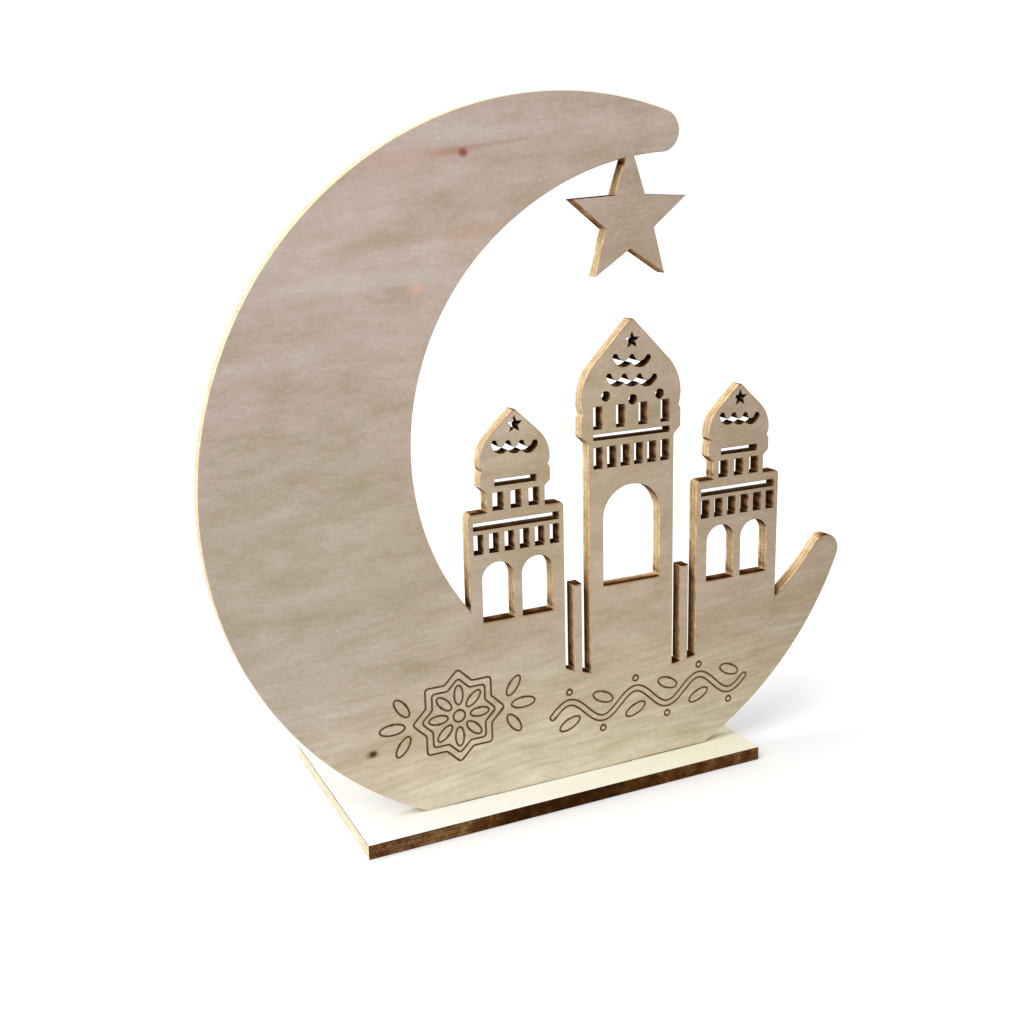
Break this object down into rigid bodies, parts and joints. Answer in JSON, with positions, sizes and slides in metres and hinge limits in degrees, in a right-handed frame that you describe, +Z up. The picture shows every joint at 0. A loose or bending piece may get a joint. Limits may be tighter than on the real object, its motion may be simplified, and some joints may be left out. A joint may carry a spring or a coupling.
{
  "type": "eid crescent ornament",
  "caption": "Free-standing festive ornament cut from three-ply wood: an upright crescent panel with a hanging star and pierced towers, its tab lifting out of a slotted base plate.",
  "frame": {"origin": "middle of the base plate's underside", "axes": "+X to the viewer's right, +Y away from the viewer through the panel, +Z up"},
  "size_m": [0.1452, 0.05, 0.145],
  "materials": {
    "face_veneer": "bare pale face veneer, fine grain, laser-cut edges browned",
    "core_veneer": "bare core veneer, seen only at the browned laser-cut edges"
  },
  "bodies": {
    "base": {"base_top_veneer": "face_veneer", "base_core_veneer": "core_veneer", "base_bottom_veneer": "face_veneer"},
    "panel": {"panel_front_veneer": "face_veneer", "panel_core_veneer": "core_veneer", "panel_back_veneer": "face_veneer"}
  },
  "joints": [
    {"name": "panel_lift", "type": "slide", "parent": "base", "child": "panel", "axis": [0, 0, 1], "range_m": [0, 0.02]}
  ]
}
